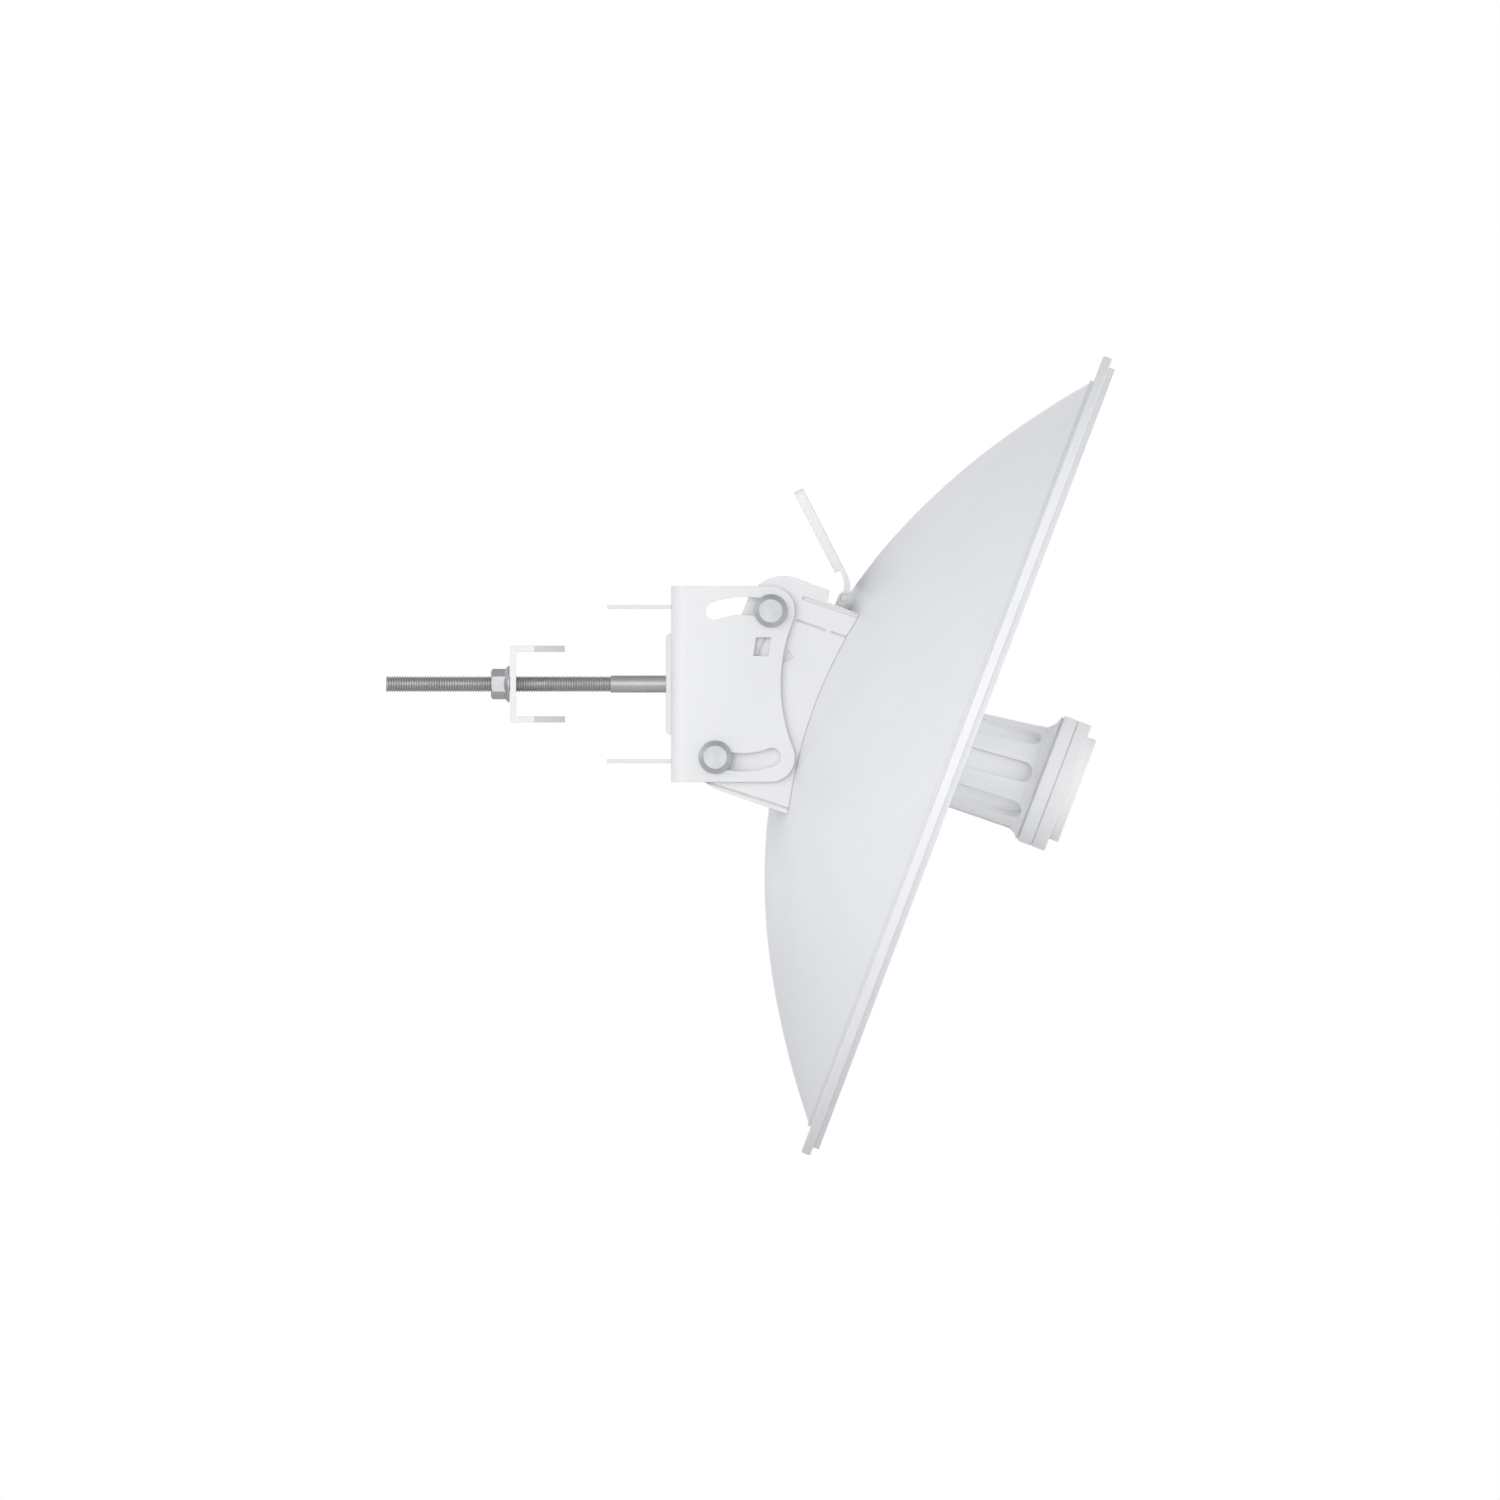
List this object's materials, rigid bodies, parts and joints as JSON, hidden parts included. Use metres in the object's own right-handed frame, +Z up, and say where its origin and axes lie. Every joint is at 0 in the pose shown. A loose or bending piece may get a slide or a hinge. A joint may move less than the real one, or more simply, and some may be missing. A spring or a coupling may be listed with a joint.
{
  "type": "outdoor wireless bridge",
  "caption": "White dish radio for a point-to-point link, on a tilting steel bracket with a two-bolt pole clamp, a fluted feed and a lidded cable bay.",
  "frame": {"origin": "on the axis of the pole that the clamp holds, level with the clamp's two long bolts", "axes": "+Z up along the pole, +X from the pole towards the dish, +Y across; at rest the dish points along +X and 20.8 degrees below the horizon"},
  "size_m": [0.3593, 0.42, 0.3938],
  "materials": {
    "white_steel": "powder coat, satin",
    "dish_paint": "paint, satin",
    "zinc_steel": "zinc plated",
    "white_plastic": "fine texture",
    "grey_plastic": "matte",
    "grey_rubber": "matte",
    "white_rubber": "matte silicone",
    "circuit_board": "solder mask",
    "tinned_metal": "tin plated",
    "gold_contact": "gold plated",
    "clear_lens": "clear"
  },
  "bodies": {
    "bracket": {"pole_bracket": "white_steel", "jaw_plates": "white_steel", "carriage_bolts": "zinc_steel"},
    "clamp": {"pole_clamp": "white_steel"},
    "near_nut": {"clamp_nut_near": "zinc_steel"},
    "far_nut": {"clamp_nut_far": "zinc_steel"},
    "dish": {"dish_bracket": "white_steel", "tilt_bolts": "zinc_steel", "weld_nuts": "zinc_steel", "dish_reflector": "dish_paint", "rim_ring": "white_steel", "dish_screws": "zinc_steel", "dish_nuts": "zinc_steel", "tube_gasket": "grey_rubber", "rear_housing": "white_plastic", "cable_bay": "white_plastic", "bay_seal": "grey_rubber", "main_board": "circuit_board", "shield_can": "tinned_metal", "lan_jack": "tinned_metal", "lan_contacts": "gold_contact", "status_lenses": "clear_lens", "cable_gland": "grey_rubber", "release_spring": "zinc_steel"},
    "lid": {"port_lid": "white_plastic"},
    "release": {"release_button": "grey_plastic"},
    "reset": {"reset_button": "grey_plastic"},
    "feed": {"feed_tube": "white_plastic", "feed_plug": "gold_contact", "feed_seal": "white_rubber", "feed_cap": "white_plastic", "feed_face": "white_plastic", "sub_reflector": "tinned_metal", "feed_board": "circuit_board", "feed_shield": "tinned_metal", "feed_radiator": "gold_contact"}
  },
  "joints": [
    {"name": "tilt", "type": "hinge", "parent": "bracket", "child": "dish", "pos_m": [0.0863, 0, 0], "axis": [0, -1, 0], "range_deg": [0, 41.6]},
    {"name": "clamp_slide", "type": "slide", "parent": "bracket", "child": "clamp", "axis": [-1, 0, 0], "range_m": [-0.01, 0.045]},
    {"name": "near_nut_spin", "type": "hinge", "parent": "clamp", "child": "near_nut", "pos_m": [-0.034, -0.043, 0], "axis": [-1, 0, 0], "continuous": true},
    {"name": "far_nut_spin", "type": "hinge", "parent": "clamp", "child": "far_nut", "pos_m": [-0.034, 0.043, 0], "axis": [-1, 0, 0], "continuous": true},
    {"name": "lid_hinge", "type": "hinge", "parent": "dish", "child": "lid", "pos_m": [0.13617, 0, 0.04257], "axis": [0, 1, 0], "range_deg": [-42, 18]},
    {"name": "feed_slide", "type": "slide", "parent": "dish", "child": "feed", "axis": [0.9348, 0, -0.3551], "range_m": [0, 0.04]},
    {"name": "release_press", "type": "slide", "parent": "dish", "child": "release", "axis": [0.9348, 0, -0.3551], "range_m": [0, 0.0022], "stiffness_N_per_m": 400, "springref_m": -0.002, "deforming": ["release_spring"]},
    {"name": "reset_press", "type": "slide", "parent": "dish", "child": "reset", "axis": [-0.3551, 0, -0.9348], "range_m": [0, 0.0008], "stiffness_N_per_m": 300, "springref_m": -0.001}
  ]
}
